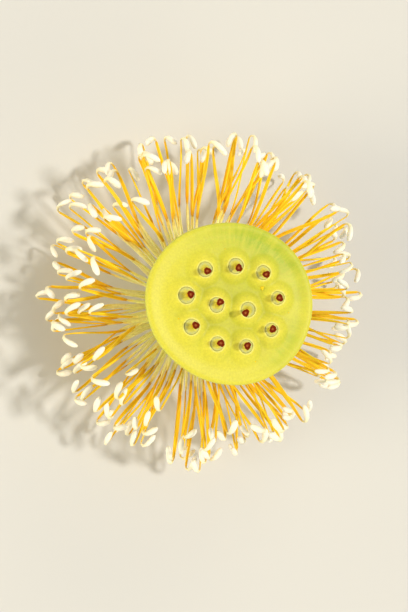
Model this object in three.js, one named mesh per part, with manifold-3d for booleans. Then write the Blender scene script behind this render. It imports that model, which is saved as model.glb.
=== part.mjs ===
// A young lotus seed pod as picked: the receptacle on its cut stalk, eleven carpels in their pits,
// and the whorl of stamens round the neck. Millimetres, +Z up, origin at the centre of the stalk's cut face.
import * as THREE from "three";
import { mergeVertices } from "three/addons/utils/BufferGeometryUtils.js";
import Module from "manifold-3d";

const wasm = await Module();
wasm.setup();

// Driving dimensions
const discRadius = 15.2; // mean radius of the flat top
const podHeight = 31.5; // cut face to the margin of the top
const podSides = 52;
const stalkRadius = 4.8;
const neckRadius = 4.9; // floor of the groove that the stamens grow in
const scarRadius = 6.7; // ridge of petal scars below the groove
const whorlBottom = 6.0;
const whorlTop = 10.6;
const pieceGap = 0.3; // between pieces that lie against each other
const mound = { height: 0.7, crown: 1.5, foot: 3.5 }; // swelling round each pit
const trough = { depth: 0.24, place: 0.83, width: 0.1 }; // shallow ring inside the margin
const lobes = { count: 9, depth: 0.22, bearing: 7 }; // faint ribs under the rim
const canals = { count: 7, radius: 0.8, depth: 2.5, circle: 2.9 }; // air canals in the cut face

// The pits and carpels
const pitDepth = 7.2;
const pitFlare = 0.25; // how much wider a pit is below its lip
const stigmaHeight = 2.1; // top of the stigma above the lip of its pit
const pitConvergence = 0.022; // radians of inward slant for each millimetre from the axis

// Each carpel: place of its pit on the top, radius of the mouth, and how far the stigma leans.
const carpels = [
  { x: -5.12, y: 6.21, mouth: 1.4, leanX: 0.05, leanY: -0.64 },
  { x: 0.64, y: 6.83, mouth: 1.45, leanX: -0.12, leanY: -0.7 },
  { x: 5.84, y: 5.66, mouth: 1.35, leanX: -0.38, leanY: -0.61 },
  { x: -8.6, y: 1.56, mouth: 1.55, leanX: 0.59, leanY: 0.07 },
  { x: -2.97, y: -0.18, mouth: 1.4, leanX: 0.17, leanY: 0.54 },
  { x: 8.62, y: 1.1, mouth: 1.25, leanX: -0.77, leanY: -0.04 },
  { x: 2.92, y: -1.02, mouth: 1.4, leanX: -1.24, leanY: -0.54 },
  { x: -7.65, y: -4.06, mouth: 1.45, leanX: 0.53, leanY: 0.47 },
  { x: 7.38, y: -4.69, mouth: 1.28, leanX: -0.75, leanY: 0.41 },
  { x: -2.86, y: -7.13, mouth: 1.35, leanX: 0.18, leanY: 0.46 },
  { x: 2.58, y: -7.63, mouth: 1.3, leanX: -0.53, leanY: 0.51 },
];

// The stamens
const stamenCount = 184;
const goldenAngle = 137.508;
const stamenBase = 5.9; // distance of each stamen's foot from the axis
const filamentLength = 10.6;
const antherLength = 14.8;
const appendageLength = 4.1;
const filamentThickness = 0.38;
const antherThickness = 0.5;
const appendageThickness = 0.56;
const steepest = 52; // degrees above level, so that no stamen touches the flank
const pathSteps = 24; // steps along filament and anther
const hookSteps = 8; // steps along the white appendage
const tufts = [
  3, 16, 28, 54, 66, 77, 90, 101, 111, 121, 137, 150, 163, 174,
  186, 209, 219, 230, 241, 263, 272, 291, 300, 309, 332, 344, 354,
]; // bearings of the tufts that the stamens gather into

const degrees = Math.PI / 180;
const smooth = (from, to, value) => {
  const t = Math.min(1, Math.max(0, (value - from) / (to - from)));
  return t * t * (3 - 2 * t);
};

// A small repeatable draw, so that the whorl is the same each time.
let seed = 31415;
const draw = () => {
  seed = (seed * 48271) % 2147483647;
  return seed / 2147483647;
};
const spread = (amount) => (2 * draw() - 1) * amount;

// Closed mesh to solid and back
const solidOf = (geometry, matrix = new THREE.Matrix4()) => {
  const bare = geometry.index ? geometry.toNonIndexed() : geometry.clone();
  const placed = new THREE.BufferGeometry()
    .setAttribute("position", bare.getAttribute("position"))
    .applyMatrix4(matrix);
  const merged = mergeVertices(placed, 1e-4);
  return new wasm.Manifold(
    new wasm.Mesh({
      numProp: 3,
      vertProperties: merged.attributes.position.array,
      triVerts: new Uint32Array(merged.index.array),
    }),
  );
};
const geometryOf = (solid) => {
  const mesh = solid.getMesh();
  const geometry = new THREE.BufferGeometry()
    .setAttribute("position", new THREE.BufferAttribute(mesh.vertProperties, 3))
    .setIndex(new THREE.BufferAttribute(mesh.triVerts, 1));
  geometry.computeVertexNormals();
  return geometry;
};
const lathe = (profile, sides) =>
  new THREE.LatheGeometry(
    profile.map(([r, z]) => new THREE.Vector2(r, z)),
    sides,
  ).rotateX(Math.PI / 2);
const moveVertices = (geometry, rule) => {
  const at = geometry.attributes.position;
  const p = new THREE.Vector3();
  for (let i = 0; i < at.count; i++) {
    rule(p.fromBufferAttribute(at, i));
    at.setXYZ(i, p.x, p.y, p.z);
  }
  return geometry;
};

// The rim isn't a true circle: it is longer one way, fuller at the upper right and has three faint corners.
const outline = (angle) =>
  discRadius +
  0.62 * Math.cos(2 * (angle + 14 * degrees)) +
  0.18 * Math.cos(angle - 45 * degrees) +
  0.16 * Math.cos(3 * (angle - 44 * degrees));

// Height of the top above its margin: a mound round each pit and a shallow trough inside the margin.
const relief = (x, y) => {
  const reach = Math.hypot(x, y) / outline(Math.atan2(y, x));
  const ring = Math.exp(-(((reach - trough.place) / trough.width) ** 2));
  const level = carpels.reduce((rest, c) => {
    const rise = smooth(mound.foot, mound.crown, Math.hypot(x - c.x, y - c.y));
    return rest * (1 - rise);
  }, 1);
  return mound.height * (1 - level) - trough.depth * ring;
};

const flank = new THREE.SplineCurve(
  [
    [6.1, 11.0],
    [7.4, 14.6],
    [9.9, 20.0],
    [12.6, 25.4],
    [14.5, 29.0],
    [15.2, 30.4],
  ].map(([r, z]) => new THREE.Vector2(r, z)),
);
const podProfile = () => {
  const stalk = [
    [0, 0],
    [stalkRadius, 0],
    [stalkRadius - 0.15, 1.6],
    [stalkRadius + 0.3, 3.1],
    [scarRadius - 0.4, 4.4],
    [scarRadius, 5.3],
    [scarRadius - 0.25, whorlBottom],
    [neckRadius, whorlBottom],
    [neckRadius, whorlTop],
    [stamenBase + 0.05, whorlTop],
  ];
  const side = flank.getPoints(7).map((p) => [p.x, p.y]);
  const rim = [
    [15.15, podHeight - 0.45],
    [14.75, podHeight - 0.08],
    [14.0, podHeight],
  ];
  const top = [13.0, 11.8, 10.4, 9.0, 7.5, 6.0, 4.4, 2.6, 1.1, 0].map((r) => [r, podHeight]);
  return [...stalk, ...side, ...rim, ...top];
};

// The turned blank is drawn out to the rim's outline, ribbed under the rim and given the relief of its top.
const receptacleBlank = () =>
  moveVertices(lathe(podProfile(), podSides), (p) => {
    const angle = Math.atan2(p.y, p.x);
    const grown = smooth(whorlTop, podHeight - 3, p.z);
    const ribbed = smooth(16, 25, p.z) * smooth(podHeight, podHeight - 4.5, p.z);
    const ribs = lobes.depth * Math.cos(lobes.count * (angle - lobes.bearing * degrees)) * ribbed;
    const factor = 1 + grown * (outline(angle) / discRadius - 1) + ribs / discRadius;
    p.x *= factor;
    p.y *= factor;
    p.z += relief(p.x, p.y) * smooth(podHeight - 1.2, podHeight - 0.1, p.z);
  });

// A pit or a carpel stands on the top at its place, its foot slanting in towards the stalk.
const carpelPlace = ({ x, y }) => {
  const away = Math.hypot(x, y);
  const axis = new THREE.Vector3(-y / away, x / away, 0);
  return {
    position: new THREE.Vector3(x, y, podHeight + relief(x, y)),
    quaternion: new THREE.Quaternion().setFromAxisAngle(axis, away * pitConvergence),
  };
};
const pit = (carpel) => {
  const { position, quaternion } = carpelPlace(carpel);
  const m = carpel.mouth;
  const shape = lathe(
    [
      [0, -pitDepth],
      [1.1, -pitDepth + 0.4],
      [m + pitFlare, -pitDepth + 2.4],
      [m + pitFlare, -1.6],
      [m, -0.5],
      [m, 2],
      [0, 2],
    ],
    10,
  );
  return solidOf(shape, new THREE.Matrix4().compose(position, quaternion, new THREE.Vector3(1, 1, 1)));
};
const airCanals = () =>
  Array.from({ length: canals.count }, (_, i) => {
    const bearing = (i * 2 * Math.PI) / canals.count;
    const place = [canals.circle * Math.cos(bearing), canals.circle * Math.sin(bearing), 0];
    const bore = new THREE.CylinderGeometry(canals.radius, canals.radius, 2 * canals.depth, 8);
    return solidOf(bore.rotateX(Math.PI / 2), new THREE.Matrix4().makeTranslation(...place));
  });
const receptacle = () =>
  geometryOf(solidOf(receptacleBlank()).subtract(wasm.Manifold.union([...carpels.map(pit), ...airCanals()])));

// A carpel: the pale ovary down in the pit, and a short style that ends in a cupped stigma.
const carpel = ({ mouth, leanX, leanY }) => {
  const body = mouth + pitFlare - pieceGap;
  const shape = lathe(
    [
      [0, -pitDepth + pieceGap + 0.1],
      [0.8, -pitDepth + 1.0],
      [body, -pitDepth + 3.2],
      [body, -2.2],
      [mouth - 0.33, -0.7],
      [0.62, -0.22],
      [0.42, 0.3],
      [0.42, stigmaHeight - 0.8],
      [0.66, stigmaHeight - 0.3],
      [0.64, stigmaHeight],
      [0.3, stigmaHeight - 0.05],
      [0, stigmaHeight - 0.3],
    ],
    8,
  );
  return moveVertices(shape, (p) => {
    const share = smooth(-1.2, stigmaHeight, p.z);
    p.x += leanX * share;
    p.y += leanY * share;
  });
};

// The turn from a bearing to the nearest tuft, by the shorter way round.
const towardsTuft = (bearing) => {
  const turns = tufts.map((t) => ((((t - bearing) % 360) + 540) % 360) - 180);
  return turns.reduce((best, t) => (Math.abs(t) < Math.abs(best) ? t : best));
};

// The line of one stamen: filament and anther, then the appendage that hooks back over the anther.
const stamenPath = (index) => {
  const rank = (index + 0.5) / stamenCount; // 0 at the lowest row of the whorl, 1 at the highest
  const root = (index * goldenAngle) % 360;
  const size = 0.9 + 0.14 * draw() - 0.16 * draw() * draw();
  const turn = 1.25 * towardsTuft(root) + spread(8);
  const rise = Math.min(steepest, 6 + 46 * rank + spread(8));
  const fall = -14 + 36 * rank + spread(11);
  const sway = spread(13);
  const roll = (index % 3 ? -1 : 1) * (48 + spread(24)) * degrees; // most hooks lie over to the same side
  const curl = (160 + spread(28)) * degrees;
  const foot = root * degrees;
  const reach = 1.03 + 0.035 * Math.cos(foot) + 0.06 * Math.sin(foot) - 0.022 * Math.cos(2 * foot);
  const length = (filamentLength + antherLength) * size * reach;
  const band = whorlTop - whorlBottom - 2 * pieceGap - 1;
  const at = new THREE.Vector3(stamenBase * Math.cos(foot), stamenBase * Math.sin(foot), 0);
  at.z = whorlBottom + pieceGap + 0.5 + band * rank;
  const points = [at.clone()];
  const heading = new THREE.Vector3();
  for (let i = 0; i < pathSteps; i++) {
    const s = (i + 0.5) / pathSteps;
    const bearing = (root + turn * smooth(-0.1, 0.8, s) + sway * Math.sin(2 * Math.PI * s)) * degrees;
    const lift = (rise + (fall - rise) * s) * degrees;
    heading.set(Math.cos(lift) * Math.cos(bearing), Math.cos(lift) * Math.sin(bearing), Math.sin(lift));
    points.push(at.addScaledVector(heading, length / pathSteps).clone());
  }
  const forward = heading.clone();
  const aside = new THREE.Vector3(0, 0, 1).cross(forward).normalize();
  const upward = forward.clone().cross(aside).multiplyScalar(Math.cos(roll));
  upward.addScaledVector(aside, Math.sin(roll));
  for (let i = 0; i < hookSteps; i++) {
    const s = (i + 0.5) / hookSteps;
    const bend = curl * (0.2 * s + 0.8 * smooth(-0.1, 0.4, s));
    heading.copy(forward).multiplyScalar(Math.cos(bend)).addScaledVector(upward, Math.sin(bend));
    points.push(at.addScaledVector(heading, (appendageLength * size) / hookSteps).clone());
  }
  return points;
};

// A three-sided tube whose rings sit at these stations of the line.
const stations = [
  [0, filamentThickness],
  [10, filamentThickness],
  [17, antherThickness],
  [24, filamentThickness],
  [26, 0.8 * appendageThickness],
  [29, appendageThickness],
  [32, filamentThickness],
];
const stamen = (points) => {
  const rings = stations.length - 1;
  const tube = new THREE.CylinderGeometry(1, 1, 1, 3, rings);
  const aside = new THREE.Vector3();
  const across = new THREE.Vector3();
  const frames = stations.map(([step, thickness]) => {
    const before = points[Math.max(0, step - 1)];
    const after = points[Math.min(points.length - 1, step + 1)];
    const along = after.clone().sub(before).normalize();
    if (aside.lengthSq() === 0) aside.set(0, 0, 1).cross(along);
    aside.addScaledVector(along, -aside.dot(along)).normalize();
    across.crossVectors(along, aside);
    return { centre: points[step], aside: aside.clone(), across: across.clone(), thickness };
  });
  moveVertices(tube, (p) => {
    const { centre, aside: u, across: v, thickness } = frames[Math.round((p.y + 0.5) * rings)];
    const [a, b] = [p.z * thickness, p.x * thickness];
    p.copy(centre).addScaledVector(u, a).addScaledVector(v, b);
  });
  return solidOf(tube);
};

// The whorl: every stamen fused at its foot to a thin collar of tissue in the groove of the neck.
const stamens = () => {
  const inner = neckRadius + pieceGap + 0.05;
  const [low, high] = [whorlBottom + pieceGap, whorlTop - pieceGap];
  const collar = lathe(
    [
      [inner, low],
      [stamenBase + 0.5, low],
      [stamenBase + 0.6, low + 1.2],
      [stamenBase + 0.3, high - 0.5],
      [stamenBase, high],
      [inner, high],
      [inner, low],
    ],
    36,
  );
  const lines = Array.from({ length: stamenCount }, (_, i) => stamenPath(i));
  const whorl = wasm.Manifold.union([solidOf(collar), ...lines.map(stamen)]);
  return geometryOf(whorl.simplify(0.01)); // slivers where stamens cross closer than this close up
};

const colour = (hex, roughness) => new THREE.MeshStandardMaterial({ color: hex, roughness, metalness: 0 });
const named = (name, geometry, material) => {
  const mesh = new THREE.Mesh(geometry, material);
  mesh.name = name;
  return mesh;
};

const pod = new THREE.Group();
pod.name = "lotus_seed_pod";
pod.add(named("receptacle", receptacle(), colour(0xdfdc55, 0.5)));
const carpelColour = colour(0xb9b765, 0.45);
carpels.forEach((c, i) => {
  const mesh = named(`carpel_${String(i + 1).padStart(2, "0")}`, carpel(c), carpelColour);
  const { position, quaternion } = carpelPlace(c);
  mesh.position.copy(position);
  mesh.quaternion.copy(quaternion);
  pod.add(mesh);
});
pod.add(named("stamens", stamens(), colour(0xf2ab16, 0.6)));

export default pod;
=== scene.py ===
# Young lotus seed pod, picked: waxy receptacle, carpels in their pits
# and a whorl of stamens round the neck.
import math

import bmesh
import bpy
from mathutils import Matrix, Vector


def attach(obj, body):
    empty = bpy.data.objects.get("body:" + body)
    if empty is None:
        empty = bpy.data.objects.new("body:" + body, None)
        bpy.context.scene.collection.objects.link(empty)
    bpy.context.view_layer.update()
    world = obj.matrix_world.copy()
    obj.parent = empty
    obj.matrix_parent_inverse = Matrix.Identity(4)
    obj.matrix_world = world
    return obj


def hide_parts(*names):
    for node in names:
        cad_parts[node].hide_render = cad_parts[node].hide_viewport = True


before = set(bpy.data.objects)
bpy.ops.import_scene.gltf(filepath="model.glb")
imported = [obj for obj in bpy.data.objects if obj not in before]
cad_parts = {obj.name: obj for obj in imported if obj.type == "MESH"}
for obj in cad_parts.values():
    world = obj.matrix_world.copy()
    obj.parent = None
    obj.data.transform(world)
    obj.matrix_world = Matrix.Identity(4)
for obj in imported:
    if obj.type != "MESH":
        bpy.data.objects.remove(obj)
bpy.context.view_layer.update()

# Shapes are worked out in millimetres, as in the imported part, and scaled to metres
# when a piece is made.
millimetre = 0.001
pod = {
    "discRadius": 15.2,
    "flatRadius": 14.0,  # inside the rounded margin
    # the rim isn't round: how many waves go round it, their bearing and their swing
    "rimWaves": [(2, -14, 0.62), (1, 45, 0.18), (3, 44, 0.16)],
    "podHeight": 31.5,
    "stalkRadius": 4.8,
    "neckRadius": 4.9,
    "scarRadius": 6.7,
    "whorlBottom": 6.0,
    "whorlTop": 10.6,
    "gap": 0.3,
}


def smoothStep(low, high, value):
    t = min(1.0, max(0.0, (value - low) / (high - low)))
    return t * t * (3 - 2 * t)


def bell(distance, width):
    return math.exp(-((distance / width) ** 2))


def turnBetween(angleA, angleB):
    # smallest turn from one bearing to another, in radians
    return (angleA - angleB + math.pi) % (2 * math.pi) - math.pi


def curveThrough(points, cuts):
    # Catmull-Rom curve through the points, with this many steps between two of them
    made = []
    for i in range(len(points) - 1):
        near = [points[max(0, i - 1)], points[i], points[i + 1], points[min(len(points) - 1, i + 2)]]
        a, b, c, d = [Vector(p) for p in near]
        for k in range(cuts):
            t = k / cuts
            bend = (c - a) * t + (2 * a - 5 * b + 4 * c - d) * t**2 + (3 * b - a - 3 * c + d) * t**3
            made.append(tuple(b + bend * 0.5))
    return made + [tuple(points[-1])]


# Node materials

def srgb(code):
    channels = [int(code[i : i + 2], 16) / 255 for i in (0, 2, 4)]
    return [c / 12.92 if c <= 0.04045 else ((c + 0.055) / 1.055) ** 2.4 for c in channels] + [1.0]


def newMaterial(name):
    material = bpy.data.materials.new(name)
    material.use_nodes = True
    material.node_tree.nodes.clear()
    return material


def addNode(material, kind, inputs={}, stops=None, **settings):
    # inputs: socket to a value, or to (node, output) for a link; stops: places and colours of a ramp
    node = material.node_tree.nodes.new("ShaderNode" + kind)
    for key, value in settings.items():
        setattr(node, key, value)
    for key, value in inputs.items():
        if isinstance(value, tuple) and isinstance(value[0], bpy.types.Node):
            material.node_tree.links.new(value[0].outputs[value[1]], node.inputs[key])
        else:
            node.inputs[key].default_value = value
    if stops:
        elements = node.color_ramp.elements
        while len(elements) < len(stops):
            elements.new(1.0)
        for element, (place, code) in zip(elements, stops):
            element.position = place
            element.color = srgb(code)
    return node


def newPiece(name, bm, material, replaced=()):
    mesh = bpy.data.meshes.new(name)
    bm.to_mesh(mesh)
    bm.free()
    mesh.transform(Matrix.Scale(millimetre, 4))
    mesh.shade_smooth()
    mesh.materials.append(material)
    piece = bpy.data.objects.new(name, mesh)
    bpy.context.scene.collection.objects.link(piece)
    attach(piece, "root")
    if replaced:
        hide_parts(*replaced)
    return piece


# Carpels: place of the pit, radius of its mouth and lean of the stigma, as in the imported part
carpels = [
    {"x": -5.12, "y": 6.21, "mouth": 1.4, "lean": (0.05, -0.64)},
    {"x": 0.64, "y": 6.83, "mouth": 1.45, "lean": (-0.12, -0.7)},
    {"x": 5.84, "y": 5.66, "mouth": 1.35, "lean": (-0.38, -0.61)},
    {"x": -8.6, "y": 1.56, "mouth": 1.55, "lean": (0.59, 0.07)},
    {"x": -2.97, "y": -0.18, "mouth": 1.4, "lean": (0.17, 0.54)},
    {"x": 8.62, "y": 1.1, "mouth": 1.25, "lean": (-0.77, -0.04)},
    {"x": 2.92, "y": -1.02, "mouth": 1.4, "lean": (-1.24, -0.54)},
    {"x": -7.65, "y": -4.06, "mouth": 1.45, "lean": (0.53, 0.47)},
    {"x": 7.38, "y": -4.69, "mouth": 1.28, "lean": (-0.75, 0.41)},
    {"x": -2.86, "y": -7.13, "mouth": 1.35, "lean": (0.18, 0.46)},
    {"x": 2.58, "y": -7.63, "mouth": 1.3, "lean": (-0.53, 0.51)},
]

# Receptacle

receptacle = {
    "moundHeight": 0.7,
    "moundCrown": 1.5,
    "moundFoot": 3.5,
    "troughDepth": 0.24,
    "troughPlace": 0.83,
    "troughWidth": 0.1,
    "ribs": 9,
    "ribDepth": 0.22,
    "ribBearing": 7,
    "spinSteps": 216,
    "cutRings": 16,
    "topSpacing": 0.28,
    "pitDepth": 7.2,
    "pitFlare": 0.25,
    "pitSlant": 0.022,
    "pitRoom": 0.86,  # how far round a pit's mouth the top's mesh is opened
    "pitSides": 44,
    "canals": 7,
    "canalRadius": 0.8,
    "canalCircle": 2.9,
    "canalDepth": 2.5,
    "canalRoom": 0.3,
    "canalSides": 24,
    "scars": 26,
    "scarTurn": 137.508,  # degrees from one to the next
    "scarLevels": (3.7, 2.0),  # height of the lowest, and of the band that they fill
    "scarCircle": 6.2,
    "scarWidth": 0.95,
    "scarHeight": 0.3,
    "scarDepth": 0.16,
    "prickles": 22,
    "prickleTurn": 222.5,
    "prickleLevels": (0.5, 2.6),
    "prickleWidth": 0.17,
    "prickleLength": 0.24,
    "tintCrown": 1.0,  # how near to its pit a mound is at its yellowest, and where that ends
    "tintFoot": 3.5,
    # share of the darker olive between the mounds: painted shade, partly the skin's own greener tone
    "valleyShadeTint": 0.62,
}


def outline(angle):
    radius = pod["discRadius"]
    for count, bearing, swing in pod["rimWaves"]:
        radius += swing * math.cos(count * (angle - math.radians(bearing)))
    return radius


def moundLevel(x, y):
    level = 1
    for c in carpels:
        level *= 1 - smoothStep(
            receptacle["moundFoot"], receptacle["moundCrown"], math.hypot(x - c["x"], y - c["y"]))
    return 1 - level


def relief(x, y):
    reach = math.hypot(x, y) / outline(math.atan2(y, x))
    trough = bell(reach - receptacle["troughPlace"], receptacle["troughWidth"])
    return receptacle["moundHeight"] * moundLevel(x, y) - receptacle["troughDepth"] * trough


def receptacleProfile():
    top, flat = pod["podHeight"], pod["flatRadius"]
    stalk, scar = pod["stalkRadius"], pod["scarRadius"]
    rings = receptacle["cutRings"]
    cut = [(stalk * i / rings, 0) for i in range(rings)]
    side = curveThrough(
        [(stalk, 0), (stalk + 0.03, 0.12), (stalk - 0.15, 1.6), (stalk + 0.3, 3.1),
         (scar - 0.4, 4.4), (scar, 5.3), (scar - 0.25, pod["whorlBottom"])], 6)
    groove = [(pod["neckRadius"], pod["whorlBottom"]), (pod["neckRadius"], pod["whorlTop"])]
    flank = curveThrough(
        [(5.95, pod["whorlTop"]), (6.1, 11.0), (7.4, 14.6), (9.9, 20.0),
         (12.6, 25.4), (14.5, 29.0), (15.2, 30.4)], 9)
    rim = curveThrough(
        [(15.2, 30.4), (15.17, 30.9), (14.95, 31.28), (14.5, 31.46), (flat, top)], 4)[1:]
    count = int(flat / receptacle["topSpacing"])
    plain = [(flat * (1 - (i + 1) / count), top) for i in range(count)]
    return cut + side + groove + flank + rim + plain


def openWell(bm, centre, clearance, rings, segments):
    # opens a round well in a flat part of the mesh; rings are (radius, height) from the surface on
    flat = [f for f in bm.faces if abs(f.calc_center_median().z - centre.z) < 0.01]
    inside = [f for f in flat if (f.calc_center_median() - centre).length < clearance]
    bmesh.ops.delete(bm, geom=inside, context="FACES")
    hole = [e for e in bm.edges if e.is_boundary]
    space = Matrix.Translation(centre)
    made = bmesh.ops.create_circle(bm, segments=segments, radius=rings[0][0], matrix=space)["verts"]
    ring = list({e for v in made for e in v.link_edges})
    bmesh.ops.triangle_fill(bm, edges=hole + ring, use_beauty=True)
    rows = [made]
    for (radius, height), (wider, before) in zip(rings[1:], rings):
        grown = bmesh.ops.extrude_edge_only(bm, edges=ring)["geom"]
        row = [g for g in grown if isinstance(g, bmesh.types.BMVert)]
        ring = [g for g in grown if isinstance(g, bmesh.types.BMEdge) and g.is_boundary]
        share = radius / wider
        bmesh.ops.scale(bm, verts=row, vec=(share, share, 1), space=space.inverted())
        bmesh.ops.translate(bm, verts=row, vec=(0, 0, height - before))
        rows.append(row)
    bmesh.ops.edgeloop_fill(bm, edges=ring)
    return rows


def makeReceptacle():
    size = receptacle
    bm = bmesh.new()
    line = [bm.verts.new((r, 0, z)) for r, z in receptacleProfile()]
    edges = [bm.edges.new(pair) for pair in zip(line, line[1:])]
    bmesh.ops.spin(
        bm, geom=line + edges, cent=(0, 0, 0), axis=(0, 0, 1), angle=2 * math.pi,
        steps=size["spinSteps"], use_merge=True)
    bmesh.ops.remove_doubles(bm, verts=bm.verts, dist=1e-4)

    # drawn out to the rim's outline, with faint ribs under the rim
    top = pod["podHeight"]
    for v in bm.verts:
        angle = math.atan2(v.co.y, v.co.x)
        grown = smoothStep(pod["whorlTop"], top - 3, v.co.z)
        ribbed = smoothStep(16, 25, v.co.z) * smoothStep(top, top - 4.5, v.co.z)
        ribTurn = size["ribs"] * (angle - math.radians(size["ribBearing"]))
        rib = size["ribDepth"] * math.cos(ribTurn) * ribbed
        share = 1 + grown * (outline(angle) / pod["discRadius"] - 1) + rib / pod["discRadius"]
        v.co.x *= share
        v.co.y *= share

    # pits with a soft raised lip, then the air canals of the cut face
    lipShare = bm.verts.layers.float.new("lipShare")
    wellShare = bm.verts.layers.float.new("wellShare")
    deep = size["pitDepth"]
    pitVerts = set()
    for carpel in carpels:
        m, flare = carpel["mouth"], size["pitFlare"]
        rings = [
            (m + 0.46, 0), (m + 0.30, 0.02), (m + 0.18, 0.06), (m + 0.09, 0.09), (m + 0.02, 0.07),
            (m - 0.03, 0.0), (m - 0.05, -0.12), (m - 0.03, -0.3), (m + 0.06, -0.7),
            (m + flare, -1.5), (m + flare, -3.0), (m + flare, -4.8), (1.1, -6.8), (0.5, -deep),
        ]
        centre = Vector((carpel["x"], carpel["y"], top))
        rows = openWell(bm, centre, m + size["pitRoom"], rings, size["pitSides"])
        away = centre.xy.length
        for row, (radius, height) in zip(rows, rings):
            pitVerts.update(row)
            for v in row:
                v[lipShare] = smoothStep(m + 0.34, m + 0.06, radius) * smoothStep(-0.9, -0.1, height)
                # painted shade: the wall darkens to the pit colour deeper down
                v[wellShare] = smoothStep(0.05, -1.4, height)
                slant = -min(0, height) * math.tan(away * size["pitSlant"]) / away
                v.co.x -= centre.x * slant
                v.co.y -= centre.y * slant
    for i in range(size["canals"]):
        bearing = 2 * math.pi * i / size["canals"]
        centre = Vector((math.cos(bearing), math.sin(bearing), 0)) * size["canalCircle"]
        r = size["canalRadius"]
        rings = [(r + 0.1, 0), (r + 0.02, 0.04), (r, 0.15), (r, 1.2), (r - 0.1, size["canalDepth"])]
        for row in openWell(bm, centre, r + size["canalRoom"], rings, size["canalSides"])[2:]:
            for v in row:
                # painted shade: the canals' walls take the pit colour all the way down
                v[wellShare] = 1.0

    # relief of the top, old scars under the whorl, prickles of the stalk, and the tints' shares
    mound = bm.verts.layers.float.new("moundShare")
    valley = bm.verts.layers.float.new("valleyShare")
    green = bm.verts.layers.float.new("greenShare")
    topShare = bm.verts.layers.float.new("topShare")
    scarShare = bm.verts.layers.float.new("scarShare")
    cutShare = bm.verts.layers.float.new("cutShare")
    radial = bm.verts.layers.float_vector.new("radial")
    low, tall = size["scarLevels"]
    scars = [
        (math.radians(size["scarTurn"] * i), low + tall * i / size["scars"])
        for i in range(size["scars"])]
    low, tall = size["prickleLevels"]
    prickles = [
        (math.radians(size["prickleTurn"] * i), low + tall * i / size["prickles"])
        for i in range(size["prickles"])]
    for v in bm.verts:
        x, y, z = v.co
        angle, r = math.atan2(y, x), math.hypot(x, y)
        reach = r / outline(angle)
        onTop = smoothStep(top - 1.2, top - 0.1, z)
        if v in pitVerts:
            onTop = 1.0
        v.co.z += relief(x, y) * onTop
        v[topShare] = onTop
        nearest = min(math.hypot(x - c["x"], y - c["y"]) for c in carpels)
        v[mound] = smoothStep(size["tintFoot"], size["tintCrown"], nearest)
        # painted shade, partly the skin's greener tone: darker olive in the valleys between the mounds,
        # away from the margin
        v[valley] = size["valleyShadeTint"] * smoothStep(0.8, 0.5, reach) * smoothStep(0.9, 0, v[mound])
        # greener in a band inside the margin, most at the upper right
        upperRight = bell(turnBetween(angle, math.radians(60)), 0.9)
        lowerRight = bell(turnBetween(angle, math.radians(-38)), 0.35)
        band = bell(reach - 0.84, 0.13)
        v[green] = min(
            1.0, band * (0.95 * upperRight + 0.55 * lowerRight) + 0.32 * upperRight * (1 - band))
        v[radial] = (9 * math.cos(angle), 9 * math.sin(angle), reach * 1.6)
        if r > 4 and z < 6.2:
            for bearing, height in scars:
                aside = turnBetween(angle, bearing) * size["scarCircle"]
                share = bell(aside, size["scarWidth"]) * bell(z - height, size["scarHeight"])
                if share > 0.02:
                    v[scarShare] = max(v[scarShare], share)
                    v.co.xy *= 1 - size["scarDepth"] * share / r
            for bearing, height in prickles:
                aside = turnBetween(angle, bearing) * pod["stalkRadius"]
                share = bell(aside, size["prickleWidth"]) * bell(z - height, size["prickleWidth"])
                if share > 0.02:
                    v.co.xy *= 1 + size["prickleLength"] * share / r
        v[cutShare] = smoothStep(0.2, 0.02, z) if r < pod["stalkRadius"] + 0.05 else 0.0
    bmesh.ops.recalc_face_normals(bm, faces=bm.faces)
    return bm
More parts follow.
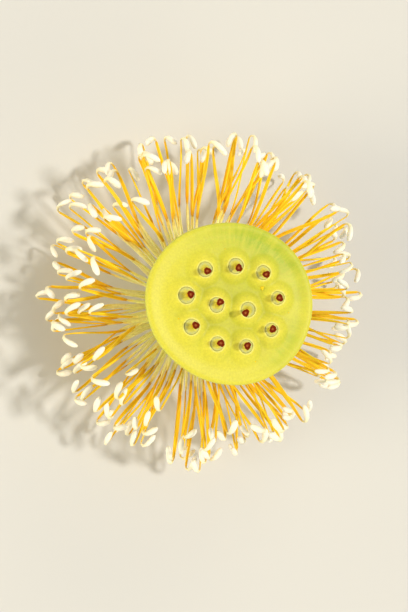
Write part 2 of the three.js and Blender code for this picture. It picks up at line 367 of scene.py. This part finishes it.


# Waxy living skin: satin, a little light gets in.
# Yellow on the mounds, greener in the trough, with fine mottling; painted shade darkens the valleys
# between the mounds and the walls down in the pits and canals.
def waxySkin():
    # valley and pit are colours of painted shade: between the mounds, and down in the wells
    colours = {
        "yellow": "ded848", "valley": "bcc02e", "mound": "e5dd48", "green": "a6bb28",
        "lip": "ece880", "pit": "c2bb4e", "flank": "c4cf56", "streak": "d2db70",
        "neck": "e2e4a0", "scar": "e6dcae", "cut": "dfe3b4",
    }
    material = newMaterial("waxy_receptacle_skin")
    place = addNode(material, "TexCoord")
    share = {
        name: addNode(material, "Attribute", attribute_name=name)
        for name in (
            "moundShare", "valleyShare", "greenShare", "lipShare", "wellShare",
            "topShare", "scarShare", "cutShare", "radial")
    }
    # mottling of 0.4 mm cells, cloudy patches of 3 mm and streaks along the radius near the margin
    mottle = addNode(
        material, "TexNoise", {"Vector": (place, "Object"), "Scale": 2300, "Detail": 4, "Roughness": 0.6})
    cloud = addNode(material, "TexNoise", {"Vector": (place, "Object"), "Scale": 330, "Detail": 2})
    streak = addNode(
        material, "TexNoise", {"Vector": (share["radial"], "Vector"), "Scale": 2.1, "Detail": 4})
    uneven = addNode(material, "Math", {0: (mottle, 0), 1: (cloud, 0)}, operation="ADD")
    uneven = addNode(material, "Math", {0: (uneven, 0), 1: (streak, 0)}, operation="ADD")
    uneven = addNode(
        material, "MapRange",
        {"Value": (uneven, 0), "From Min": 1.15, "From Max": 1.85, "To Min": 0.4, "To Max": 1.5})
    greenness = addNode(
        material, "Math", {0: (share["greenShare"], "Fac"), 1: (uneven, 0)},
        operation="MULTIPLY", use_clamp=True)
    base = addNode(
        material, "Mix", {0: (greenness, 0), 6: srgb(colours["yellow"]), 7: srgb(colours["green"])},
        data_type="RGBA")
    patchy = addNode(
        material, "Math", {0: (uneven, 0), 1: (share["moundShare"], "Fac")},
        operation="MULTIPLY", use_clamp=True)
    # painted shade in the valleys between the mounds, over the skin's own greener tone there
    base = addNode(
        material, "Mix", {0: (share["valleyShare"], "Fac"), 6: (base, 2), 7: srgb(colours["valley"])},
        data_type="RGBA")
    base = addNode(
        material, "Mix", {0: (patchy, 0), 6: (base, 2), 7: srgb(colours["mound"])}, data_type="RGBA")
    # pale lip, then painted shade in the wells: darker down in the pits and canals
    for name, colour in [("lipShare", "lip"), ("wellShare", "pit")]:
        base = addNode(
            material, "Mix", {0: (share[name], "Fac"), 6: (base, 2), 7: srgb(colours[colour])},
            data_type="RGBA")
    # the side: fine lengthwise streaks, paler down at the neck
    vein = addNode(
        material, "MapRange",
        {"Value": (streak, 0), "From Min": 0.42, "From Max": 0.62, "To Min": 0.0, "To Max": 1.0})
    side = addNode(
        material, "Mix", {0: (vein, 0), 6: srgb(colours["flank"]), 7: srgb(colours["streak"])},
        data_type="RGBA")
    level = addNode(material, "SeparateXYZ", {0: (place, "Object")})
    low = addNode(
        material, "MapRange",
        {"Value": (level, 2), "From Min": 0.021, "From Max": 0.006, "To Min": 0.0, "To Max": 0.75})
    side = addNode(
        material, "Mix", {0: (low, 0), 6: (side, 2), 7: srgb(colours["neck"])}, data_type="RGBA")
    base = addNode(
        material, "Mix", {0: (share["topShare"], "Fac"), 6: (side, 2), 7: (base, 2)}, data_type="RGBA")
    for name, colour in [("scarShare", "scar"), ("cutShare", "cut")]:
        base = addNode(
            material, "Mix", {0: (share[name], "Fac"), 6: (base, 2), 7: srgb(colours[colour])},
            data_type="RGBA")
    # skin pores, drawn 0.26 mm across because real ones of 0.02 mm are too fine to show
    speckle = addNode(material, "TexVoronoi", {"Vector": (place, "Object"), "Scale": 3800})
    grain = addNode(
        material, "MapRange",
        {"Value": (speckle, "Distance"), "From Min": 0.0, "From Max": 0.8, "To Min": 1.03, "To Max": 0.96})
    fleck = addNode(
        material, "MapRange",
        {"Value": (mottle, 0), "From Min": 0.36, "From Max": 0.64, "To Min": 0.94, "To Max": 1.04})
    grain = addNode(material, "Math", {0: (grain, 0), 1: (fleck, 0)}, operation="MULTIPLY")
    fine = addNode(
        material, "MapRange", {"Value": (share["topShare"], "Fac"), "To Min": 0.35, "To Max": 1.0})
    base = addNode(
        material, "Mix", {0: (fine, 0), 6: (base, 2), 7: (grain, 0)},
        data_type="RGBA", blend_type="MULTIPLY")
    pores = addNode(material, "Math", {0: (mottle, 0), 1: (fine, 0)}, operation="MULTIPLY")
    bump = addNode(material, "Bump", {"Strength": 0.3, "Distance": 0.0001, "Height": (pores, 0)})
    shader = addNode(
        material, "BsdfPrincipled",
        {"Base Color": (base, 2), "Roughness": 0.46, "IOR": 1.42, "Specular IOR Level": 0.38,
         "Subsurface Weight": 0.2, "Subsurface Radius": (1.0, 0.8, 0.25), "Subsurface Scale": 0.0006,
         "Normal": (bump, 0)})
    addNode(material, "OutputMaterial", {"Surface": (shader, 0)})
    return material


podSkin = waxySkin()
newPiece("receptacle_skin", makeReceptacle(), podSkin, ["receptacle"])

# Pollen shed onto the top: clumps of loose grains, each from a few overlapping balls
pollen = {
    "balls": 5,
    # place and size of each clump
    "clumps": [
        (5.79, 2.87, 0.24), (-9.9, -2.6, 0.1), (4.6, -10.4, 0.09), (-1.2, 9.9, 0.08), (10.9, -1.6, 0.08)],
}


def makePollen():
    bm = bmesh.new()
    for n, (x, y, r) in enumerate(pollen["clumps"]):
        for k in range(pollen["balls"]):
            turn = 2.4 * k + n
            size = r * (0.9 - 0.1 * k)
            out = 0.9 * r * (k > 0)
            height = pod["podHeight"] + relief(x, y) + 0.55 * size
            at = Vector((x + out * math.cos(turn), y + out * math.sin(turn), height))
            ball = bmesh.ops.create_icosphere(
                bm, subdivisions=2, radius=size, matrix=Matrix.Translation(at))["verts"]
            for v in ball:
                v.co += (v.co - at) * 0.16 * math.sin(23 * v.co.x / r + 17 * v.co.y / r + 11 * k)
    return bm


# Loose pollen: dry golden powder, in lumps of 0.07 mm, the size of a grain
def loosePollen():
    material = newMaterial("loose_golden_pollen")
    place = addNode(material, "TexCoord")
    lumps = addNode(material, "TexNoise", {"Vector": (place, "Object"), "Scale": 14000, "Detail": 2})
    ramp = addNode(material, "ValToRGB", {"Fac": (lumps, 0)}, stops=[(0.35, "f2c400"), (0.65, "ffec30")])
    bump = addNode(material, "Bump", {"Strength": 0.8, "Distance": 0.00003, "Height": (lumps, 0)})
    shader = addNode(
        material, "BsdfPrincipled",
        {"Base Color": (ramp, 0), "Roughness": 0.85, "IOR": 1.45, "Normal": (bump, 0)})
    addNode(material, "OutputMaterial", {"Surface": (shader, 0)})
    return material


newPiece("shed_pollen", makePollen(), loosePollen())
print("receptacle made")

# Carpels

carpelSize = {"depth": 7.2, "stigmaHeight": 2.1, "segments": 28}


def makeCarpel(carpel, turn):
    bm = bmesh.new()
    m = carpel["mouth"]
    deep, tip = -carpelSize["depth"], carpelSize["stigmaHeight"]
    body = m + receptacle["pitFlare"] - pod["gap"]
    profile = curveThrough([
        # ovary, up to its round top
        (0, deep + 0.4), (0.8, deep + 1.0), (body, deep + 3.2), (body, -2.2), (m - 0.02, -1.2),
        (m - 0.08, -0.6), (m - 0.07, -0.3), (m - 0.08, -0.1), (m - 0.15, -0.02), (m - 0.3, 0.02),
        # style
        (0.7 * m, 0.05), (0.62, 0.1), (0.46, 0.28), (0.41, 0.75), (0.42, tip - 0.75),
        # flared stigma and the cup in it
        (0.58, tip - 0.28), (0.66, tip - 0.12), (0.64, tip - 0.01), (0.52, tip), (0.34, tip - 0.12),
        (0.16, tip - 0.22), (0, tip - 0.25)], 3)
    line = [bm.verts.new((r, 0, z)) for r, z in profile]
    edges = [bm.edges.new(pair) for pair in zip(line, line[1:])]
    bmesh.ops.spin(
        bm, geom=line + edges, cent=(0, 0, 0), axis=(0, 0, 1), angle=2 * math.pi,
        steps=carpelSize["segments"], use_merge=True)
    bmesh.ops.remove_doubles(bm, verts=bm.verts, dist=1e-4)
    riseShare = bm.verts.layers.float.new("riseShare")
    cupShare = bm.verts.layers.float.new("cupShare")
    x, y = carpel["x"], carpel["y"]
    away = math.hypot(x, y)
    slant = math.tan(away * receptacle["pitSlant"]) / away
    place = Matrix.Translation((x, y, pod["podHeight"] + relief(x, y)))
    # leans in towards the stalk, its shoulder level with the lip
    place[0][2], place[1][2] = x * slant, y * slant
    for v in bm.verts:
        angle, r = math.atan2(v.co.y, v.co.x), math.hypot(v.co.x, v.co.y)
        # partly painted glow: spreads the style's own gold over the ovary's top round its foot, standing
        # in for light passing through the style
        styleGoldAndGlow = (
            smoothStep(0.8 * m, 0.5, r) * smoothStep(-0.15, 0, v.co.z) * smoothStep(0.5, 0.1, v.co.z))
        v[riseShare] = (v.co.z - deep) / (tip - deep) + 0.02 * styleGoldAndGlow
        v[cupShare] = smoothStep(0.3, 0.12, r) * smoothStep(tip - 0.4, tip - 0.15, v.co.z)
        crooked = 1 + smoothStep(0.7, tip, v.co.z) * (
            0.09 * math.cos(3 * angle + turn)
            + 0.07 * math.cos(2 * angle - 2 * turn)
            + 0.045 * math.cos(7 * angle + turn))
        v.co.xy *= crooked
        share = smoothStep(-0.2, tip, v.co.z)
        v.co.x += carpel["lean"][0] * share
        v.co.y += carpel["lean"][1] * share
    bmesh.ops.transform(bm, verts=bm.verts, matrix=place)
    bmesh.ops.recalc_face_normals(bm, faces=bm.faces)
    return bm


# Moist ovary and stigma: pale grey-green below with a band of painted light on the shoulder down in the
# groove, golden style, red-brown stigma with a paler cup, all faintly mottled in 0.4 mm cells
def carpelSkin():
    material = newMaterial("moist_carpel_skin")
    place = addNode(material, "TexCoord")
    rise = addNode(material, "Attribute", attribute_name="riseShare")
    cup = addNode(material, "Attribute", attribute_name="cupShare")
    mottle = addNode(material, "TexNoise", {"Vector": (place, "Object"), "Scale": 2400, "Detail": 4})
    shifted = addNode(
        material, "MapRange",
        {"Value": (mottle, 0), "From Min": 0.3, "From Max": 0.7, "To Min": -0.012, "To Max": 0.012})
    level = addNode(material, "Math", {0: (rise, "Fac"), 1: (shifted, 0)}, operation="ADD")
    # the lighter stop at 0.757 is painted light: it lifts the ovary's shoulder down in the narrow groove
    # by the pit's lip, where shade falls
    ramp = addNode(
        material, "ValToRGB", {"Fac": (level, 0)},
        stops=[(0.0, "d9d6a4"), (0.74, "d2d28c"), (0.757, "e2e09a"), (0.772, "c9cc84"),
               (0.796, "d2ca50"), (0.89, "cfae20"), (0.934, "a65604"), (0.955, "762400")])
    base = addNode(material, "Mix", {0: (cup, "Fac"), 6: (ramp, 0), 7: srgb("c07038")}, data_type="RGBA")
    patches = addNode(
        material, "MapRange",
        {"Value": (mottle, 0), "From Min": 0.35, "From Max": 0.65, "To Min": 0.88, "To Max": 1.08})
    base = addNode(
        material, "Mix", {0: 1.0, 6: (base, 2), 7: (patches, 0)},
        data_type="RGBA", blend_type="MULTIPLY")
    bump = addNode(material, "Bump", {"Strength": 0.4, "Distance": 0.0001, "Height": (mottle, 0)})
    shader = addNode(
        material, "BsdfPrincipled",
        {"Base Color": (base, 2), "Roughness": 0.5, "IOR": 1.36, "Specular IOR Level": 0.12,
         "Subsurface Weight": 0.15, "Subsurface Radius": (1.0, 0.9, 0.4), "Subsurface Scale": 0.0003,
         "Normal": (bump, 0)})
    addNode(material, "OutputMaterial", {"Surface": (shader, 0)})
    return material


moistSkin = carpelSkin()
for i, carpel in enumerate(carpels):
    name = f"carpel_{i + 1:02d}"
    newPiece(name + "_flesh", makeCarpel(carpel, 1.7 * i), moistSkin, [name])
print("carpels made")

# Stamens

stamen = {
    "count": 184,
    "golden": 137.508,
    "base": 5.9,
    "filamentLength": 10.6,
    "antherLength": 14.8,
    "appendageLength": 4.1,
    "steepest": 52,
    "footMargin": 0.5,  # from the edges of the collar to the nearest feet
    "pathSteps": 24,
    "hookSteps": 8,
    "seed": 31415,
}
# bearings in degrees at which the ends of the stamens gather
tufts = [
    3, 16, 28, 54, 66, 77, 90, 101, 111, 121, 137, 150, 163, 174,
    186, 209, 219, 230, 241, 263, 272, 291, 300, 309, 332, 344, 354,
]


def draw():
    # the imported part's own repeatable draw, from 0 to 1
    stamen["seed"] = stamen["seed"] * 48271 % 2147483647
    return stamen["seed"] / 2147483647


def spread(amount):
    return (2 * draw() - 1) * amount


def stamenLine(index):
    # points of one stamen from its foot to the tip of its appendage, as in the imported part
    size = stamen
    rank = (index + 0.5) / size["count"]
    root = (index * size["golden"]) % 360
    stretch = 0.9 + 0.14 * draw()
    stretch -= 0.16 * draw() * draw()
    # drawn to the nearest tuft; those that grow higher stand steeper
    turn = 1.25 * min([(t - root + 540) % 360 - 180 for t in tufts], key=abs) + spread(8)
    rise = min(size["steepest"], 6 + 46 * rank + spread(8))
    fall = -14 + 36 * rank + spread(11)
    sway = spread(13)
    # most hooks lie over to the same side
    roll = math.radians((-1 if index % 3 else 1) * (48 + spread(24)))
    curl = math.radians(160 + spread(28))
    foot = math.radians(root)
    reach = 1.03 + 0.035 * math.cos(foot) + 0.06 * math.sin(foot) - 0.022 * math.cos(2 * foot)
    length = (size["filamentLength"] + size["antherLength"]) * stretch * reach
    band = pod["whorlTop"] - pod["whorlBottom"] - 2 * pod["gap"] - 2 * size["footMargin"]
    height = pod["whorlBottom"] + pod["gap"] + size["footMargin"] + band * rank
    at = Vector((size["base"] * math.cos(foot), size["base"] * math.sin(foot), height))
    points = [at.copy()]
    steps = size["pathSteps"]
    for i in range(steps):
        s = (i + 0.5) / steps
        bearing = math.radians(root + turn * smoothStep(-0.1, 0.8, s) + sway * math.sin(2 * math.pi * s))
        lift = math.radians(rise + (fall - rise) * s)
        heading = Vector((
            math.cos(lift) * math.cos(bearing), math.cos(lift) * math.sin(bearing), math.sin(lift)))
        at = at + heading * (length / steps)
        points.append(at.copy())
    forward = heading.copy()
    aside = Vector((0, 0, 1)).cross(forward).normalized()
    upward = forward.cross(aside) * math.cos(roll) + aside * math.sin(roll)
    step = size["appendageLength"] * stretch / size["hookSteps"]
    for i in range(size["hookSteps"]):
        s = (i + 0.5) / size["hookSteps"]
        bend = curl * (0.2 * s + 0.8 * smoothStep(-0.1, 0.4, s))
        at = at + (forward * math.cos(bend) + upward * math.sin(bend)) * step
        points.append(at.copy())
    return points


def withFrames(points):
    # each point with two directions across the line, carried along without twist
    made, aside = [], None
    for i, point in enumerate(points):
        along = (points[min(len(points) - 1, i + 1)] - points[max(0, i - 1)]).normalized()
        aside = Vector((0, 0, 1)).cross(along) if aside is None else aside
        aside = (aside - along * aside.dot(along)).normalized()
        made.append((point, aside, along.cross(aside)))
    return made


def threadTemplate(sides, cuts):
    # a closed tube from z 0 to 1, of radius 1, with this many cuts along it
    bm = bmesh.new()
    bmesh.ops.create_cone(bm, cap_ends=True, segments=sides, radius1=1, radius2=1, depth=1)
    lengthwise = [e for e in bm.edges if abs(e.verts[0].co.z - e.verts[1].co.z) > 0.5]
    bmesh.ops.subdivide_edges(bm, edges=lengthwise, cuts=cuts)
    bmesh.ops.translate(bm, verts=bm.verts, vec=(0, 0, 0.5))
    bmesh.ops.recalc_face_normals(bm, faces=bm.faces)
    mesh = bpy.data.meshes.new("thread_template")
    bm.to_mesh(mesh)
    bm.free()
    return mesh


def splitStep(k):
    # where the filament of stamen k ends and its anther starts: further out on the side away from +X
    root = math.radians(k * stamen["golden"])
    return 11.2 - 1.3 * math.cos(root - math.radians(-25)) + 1.3 * math.sin(5.1 * k + 2)


def layThreads(lines, part):
    # one copy of the template along its share of every line
    template = threadTemplate(part["sides"], part["cuts"])
    bm = bmesh.new()
    for _ in lines:
        bm.from_mesh(template)
    alongShare = bm.verts.layers.float.new("alongShare")
    acrossShare = bm.verts.layers.float.new("acrossShare")
    whichThread = bm.verts.layers.float.new("whichThread")
    count = len(template.vertices)
    bm.verts.ensure_lookup_table()
    for k, line in enumerate(lines):
        twist = part["twist"] * math.sin(12.9 * k)
        girth = 1 + part["vary"] * math.sin(7.3 * k + 1)
        start, end = part["span"](k)
        for v in bm.verts[k * count : (k + 1) * count]:
            share = 0.5 - 0.5 * math.cos(math.pi * v.co.z)
            angle = math.atan2(v.co.y, v.co.x)
            step = start + (end - start) * share
            low = min(len(line) - 2, int(step))
            t = step - low
            (a, asideA, acrossA), (b, asideB, acrossB) = line[low], line[low + 1]
            radius = part["radius"](share) * girth
            wide = radius * part["section"](angle)
            turned = angle + twist + part["spiral"] * share
            u, w = wide * math.cos(turned), wide * math.sin(turned)
            v.co = a.lerp(b, t) + asideA.lerp(asideB, t) * u + acrossA.lerp(acrossB, t) * w
            v[alongShare] = share
            v[acrossShare] = part["section"](angle)
            v[whichThread] = (k * 0.618) % 1
    bpy.data.meshes.remove(template)
    return bm


def through(stops):
    # a smooth value between (place, value) stops
    def value(share):
        for (a, va), (b, vb) in zip(stops, stops[1:]):
            if share <= b:
                return va + (vb - va) * smoothStep(a, b, share)
        return stops[-1][1]
    return value


filaments = {
    "sides": 6, "cuts": 8, "span": lambda k: (0, splitStep(k) + 0.4),
    "twist": 0, "spiral": 0, "vary": 0.12,
    "radius": through([(0, 0.34), (0.5, 0.33), (0.85, 0.27), (1, 0.14)]),
    "section": lambda angle: 1.0,
}
# an anther is two pollen sacs side by side, with a furrow along the join
anthers = {
    "sides": 10, "cuts": 7, "span": lambda k: (splitStep(k) - 0.2, 24.15),
    "twist": 1.5, "spiral": 1.2, "vary": 0.12,
    "radius": through([(0, 0.1), (0.05, 0.23), (0.2, 0.32), (0.75, 0.31), (0.95, 0.24), (1, 0.12)]),
    "section": lambda angle: 0.78 + 0.27 * math.cos(2 * angle) + 0.05 * math.cos(4 * angle),
}
appendages = {
    "sides": 8, "cuts": 8, "span": lambda k: (23.7, 32),
    "twist": 0.8, "spiral": 0, "vary": 0.1,
    "radius": through([
        (0, 0.12), (0.07, 0.2), (0.26, 0.36), (0.55, 0.58), (0.8, 0.6), (0.95, 0.4), (1, 0.1)]),
    "section": lambda angle: 0.93 + 0.07 * math.cos(2 * angle),
}


# Fresh plant thread: cream, light passes into it, golden where the anther starts, uneven every 0.6 mm
def creamThread():
    material = newMaterial("fresh_filament_tissue")
    place = addNode(material, "TexCoord")
    along = addNode(material, "Attribute", attribute_name="alongShare")
    grain = addNode(material, "TexNoise", {"Vector": (place, "Object"), "Scale": 1800, "Detail": 3})
    ramp = addNode(
        material, "ValToRGB", {"Fac": (along, "Fac")},
        stops=[(0.0, "f8f0b4"), (0.25, "fff6bc"), (0.8, "fff4b0"), (0.95, "f6d470")])
    patches = addNode(
        material, "MapRange",
        {"Value": (grain, 0), "From Min": 0.3, "From Max": 0.7, "To Min": 0.9, "To Max": 1.06})
    base = addNode(
        material, "Mix", {0: 1.0, 6: (ramp, 0), 7: (patches, 0)},
        data_type="RGBA", blend_type="MULTIPLY")
    bump = addNode(material, "Bump", {"Strength": 0.3, "Distance": 0.00005, "Height": (grain, 0)})
    shader = addNode(
        material, "BsdfPrincipled",
        {"Base Color": (base, 2), "Roughness": 0.5, "IOR": 1.4, "Subsurface Weight": 0.6,
         "Subsurface Radius": (1.0, 0.85, 0.4), "Subsurface Scale": 0.001, "Normal": (bump, 0)})
    addNode(material, "OutputMaterial", {"Surface": (shader, 0)})
    return material


# Open pollen sacs: dull golden powder, browner at the inner end and in the furrow. Grains of 0.07 mm
# are too fine to show, so the powder is drawn in lumps of 0.2 mm, with dusty patches of 2.4 mm.
def pollenSac():
    material = newMaterial("powdery_anther_pollen")
    place = addNode(material, "TexCoord")
    along = addNode(material, "Attribute", attribute_name="alongShare")
    across = addNode(material, "Attribute", attribute_name="acrossShare")
    which = addNode(material, "Attribute", attribute_name="whichThread")
    powder = addNode(
        material, "TexNoise", {"Vector": (place, "Object"), "Scale": 5200, "Detail": 3, "Roughness": 0.7})
    blotch = addNode(material, "TexNoise", {"Vector": (place, "Object"), "Scale": 420, "Detail": 2})
    ramp = addNode(
        material, "ValToRGB", {"Fac": (along, "Fac")},
        stops=[(0.0, "a8640c"), (0.07, "e0a60c"), (0.2, "ffce0a"), (0.7, "ffda10"), (0.95, "ffd21a"),
               (1.0, "f0bc3c")])
    furrow = addNode(
        material, "MapRange",
        {"Value": (across, "Fac"), "From Min": 0.56, "From Max": 0.86, "To Min": 0.6, "To Max": 0.0})
    base = addNode(material, "Mix", {0: (furrow, 0), 6: (ramp, 0), 7: srgb("ec9e06")}, data_type="RGBA")
    tone = addNode(
        material, "MapRange",
        {"Value": (which, "Fac"), "From Min": 0.0, "From Max": 1.0, "To Min": 0.9, "To Max": 1.12})
    base = addNode(
        material, "Mix", {0: 1.0, 6: (base, 2), 7: (tone, 0)},
        data_type="RGBA", blend_type="MULTIPLY")
    dusty = addNode(
        material, "MapRange",
        {"Value": (blotch, 0), "From Min": 0.5, "From Max": 0.7, "To Min": 0.0, "To Max": 0.45})
    base = addNode(material, "Mix", {0: (dusty, 0), 6: (base, 2), 7: srgb("ffe04a")}, data_type="RGBA")
    bump = addNode(material, "Bump", {"Strength": 0.6, "Distance": 0.00006, "Height": (powder, 0)})
    shader = addNode(
        material, "BsdfPrincipled",
        {"Base Color": (base, 2), "Roughness": 0.78, "IOR": 1.45, "Subsurface Weight": 0.15,
         "Subsurface Radius": (1.0, 0.6, 0.1), "Subsurface Scale": 0.0004, "Normal": (bump, 0)})
    addNode(material, "OutputMaterial", {"Surface": (shader, 0)})
    return material


# Fleshy appendage: waxy cream-white with soft 0.7 mm clouds, yellow where it joins the anther
def waxyAppendage():
    material = newMaterial("waxy_appendage_flesh")
    place = addNode(material, "TexCoord")
    along = addNode(material, "Attribute", attribute_name="alongShare")
    cloud = addNode(material, "TexNoise", {"Vector": (place, "Object"), "Scale": 1400, "Detail": 3})
    ramp = addNode(
        material, "ValToRGB", {"Fac": (along, "Fac")},
        stops=[(0.0, "ecc96c"), (0.2, "f6ecc0"), (0.5, "fdf8e6"), (0.9, "fffcf0")])
    patches = addNode(
        material, "MapRange",
        {"Value": (cloud, 0), "From Min": 0.3, "From Max": 0.7, "To Min": 0.93, "To Max": 1.02})
    base = addNode(
        material, "Mix", {0: 1.0, 6: (ramp, 0), 7: (patches, 0)},
        data_type="RGBA", blend_type="MULTIPLY")
    bump = addNode(material, "Bump", {"Strength": 0.2, "Distance": 0.00006, "Height": (cloud, 0)})
    shader = addNode(
        material, "BsdfPrincipled",
        {"Base Color": (base, 2), "Roughness": 0.42, "IOR": 1.4, "Subsurface Weight": 0.45,
         "Subsurface Radius": (1.0, 0.9, 0.7), "Subsurface Scale": 0.0006, "Normal": (bump, 0)})
    addNode(material, "OutputMaterial", {"Surface": (shader, 0)})
    return material


def makeCollar():
    low, high = pod["whorlBottom"] + pod["gap"], pod["whorlTop"] - pod["gap"]
    inner, base = pod["neckRadius"] + pod["gap"] + 0.05, stamen["base"]
    bm = bmesh.new()
    outer = curveThrough(
        [(base + 0.3, low), (base + 0.52, low + 0.35), (base + 0.55, low + 1.2),
         (base + 0.25, high - 0.5), (base - 0.05, high)], 5)
    line = [bm.verts.new((r, 0, z)) for r, z in [(inner, low)] + outer + [(inner, high)]]
    edges = [bm.edges.new(pair) for pair in zip(line, line[1:] + line[:1])]
    bmesh.ops.spin(
        bm, geom=line + edges, cent=(0, 0, 0), axis=(0, 0, 1), angle=2 * math.pi,
        steps=96, use_merge=True)
    bmesh.ops.remove_doubles(bm, verts=bm.verts, dist=1e-4)
    alongShare = bm.verts.layers.float.new("alongShare")
    for v in bm.verts:
        v[alongShare] = 0.05
    bmesh.ops.recalc_face_normals(bm, faces=bm.faces)
    return bm


lines = [withFrames(stamenLine(i)) for i in range(stamen["count"])]
creamTissue = creamThread()
newPiece("stamen_collar", makeCollar(), creamTissue, ["stamens"])
newPiece("stamen_filaments", layThreads(lines, filaments), creamTissue, ["stamens"])
newPiece("stamen_anthers", layThreads(lines, anthers), pollenSac(), ["stamens"])
newPiece(
    "stamen_appendages", layThreads(lines, appendages), waxyAppendage(), ["stamens"])
print("stamens made")

# Studio: pale floor, sun-like key from the right, wide soft light from above

studio = {
    "floorSize": 8,
    "floorFlat": 1.0,  # how far out the floor starts to curve up
    "floorRise": 0.8,  # and how far it has curved up at its edge
    "floorColour": "d5d5d3",
    "keyTilt": 31,
    "keyBearing": 8,
    "keyWidth": 7,  # degrees across, which sets how soft the shadows' edges are
    "keyStrength": 2.02,
    "keyColour": "fffaf0",
    "skyColour": "f8f7f4",
    "skyStrength": 0.36,
    "bounceColour": "fff2d2",
    "bounceSize": 0.9,
    "bounceDistance": 1.5,
    "aimHeight": 0.02,
    # bearing, height and watts of each low soft lamp
    "bounces": [(190, 22, 15), (300, 22, 5), (70, 22, 5)],
}
bm = bmesh.new()
bmesh.ops.create_grid(bm, x_segments=48, y_segments=48, size=studio["floorSize"] / 2)
for v in bm.verts:
    v.co.z = studio["floorRise"] * smoothStep(studio["floorFlat"], studio["floorSize"] / 2, v.co.length)
floorMesh = bpy.data.meshes.new("floor")
bm.to_mesh(floorMesh)
bm.free()
floorMesh.shade_smooth()
floorPaint = newMaterial("matt_studio_floor")
floorShader = addNode(
    floorPaint, "BsdfPrincipled", {"Base Color": srgb(studio["floorColour"]), "Roughness": 0.9})
addNode(floorPaint, "OutputMaterial", {"Surface": (floorShader, 0)})
floorMesh.materials.append(floorPaint)
floor = bpy.data.objects.new("floor", floorMesh)
bpy.context.scene.collection.objects.link(floor)


def addLamp(name, kind, bearing, height, colour, energy):
    # a lamp that looks at the pod, bearing and height in degrees
    bearing, height = math.radians(bearing), math.radians(height)
    toLamp = Vector((
        math.cos(height) * math.cos(bearing), math.cos(height) * math.sin(bearing), math.sin(height)))
    lamp = bpy.data.objects.new(name, bpy.data.lights.new(name, kind))
    lamp.data.color = srgb(colour)[:3]
    lamp.data.energy = energy
    lamp.location = Vector((0, 0, studio["aimHeight"])) + toLamp * studio["bounceDistance"]
    lamp.rotation_euler = toLamp.to_track_quat("Z", "Y").to_euler()
    lamp.visible_camera = False
    bpy.context.scene.collection.objects.link(lamp)
    return lamp


key = addLamp(
    "key", "SUN", studio["keyBearing"], 90 - studio["keyTilt"], studio["keyColour"],
    studio["keyStrength"])
key.data.angle = math.radians(studio["keyWidth"])
for i, (bearing, height, power) in enumerate(studio["bounces"]):
    bounce = addLamp(f"bounce_{i + 1}", "AREA", bearing, height, studio["bounceColour"], power)
    bounce.data.shape = "DISK"
    bounce.data.size = studio["bounceSize"]

sky = bpy.data.worlds.new("studio_sky")
sky.use_nodes = True
background = sky.node_tree.nodes["Background"]
background.inputs["Color"].default_value = srgb(studio["skyColour"])
background.inputs["Strength"].default_value = studio["skyStrength"]
bpy.context.scene.world = sky
bpy.context.scene.view_settings.view_transform = "Standard"

# Camera: tilted off the pod's axis to the left, so that the disc stands right of the whorl's middle
camera = {
    "sensor": 36,
    "tilt": 17,
    "distance": 0.34,
    "pixel": 0.00018,  # width at the disc that one pixel of the picture shows
    "discPixel": (230, 304),
    "frame": (408, 612),
    "discHeight": 0.0307,
}
tilt = math.radians(camera["tilt"])
away = Vector((-math.sin(tilt), 0, math.cos(tilt)))
right = Vector((math.cos(tilt), 0, math.sin(tilt)))
up = Vector((0, 1, 0))
offRight = (camera["discPixel"][0] - camera["frame"][0] / 2) * camera["pixel"]
offUp = (camera["frame"][1] / 2 - camera["discPixel"][1]) * camera["pixel"]
cameraData = bpy.data.cameras.new("camera")
cameraData.sensor_width = camera["sensor"]
cameraData.lens = camera["sensor"] * camera["distance"] / (camera["frame"][1] * camera["pixel"])
cameraData.clip_start = 0.01
eye = bpy.data.objects.new("camera", cameraData)
disc = Vector((0, 0, camera["discHeight"]))
eye.location = disc + away * camera["distance"] - right * offRight - up * offUp
eye.rotation_euler = Matrix((right, up, away)).transposed().to_euler()
bpy.context.scene.collection.objects.link(eye)
bpy.context.scene.camera = eye
print("studio and camera made")
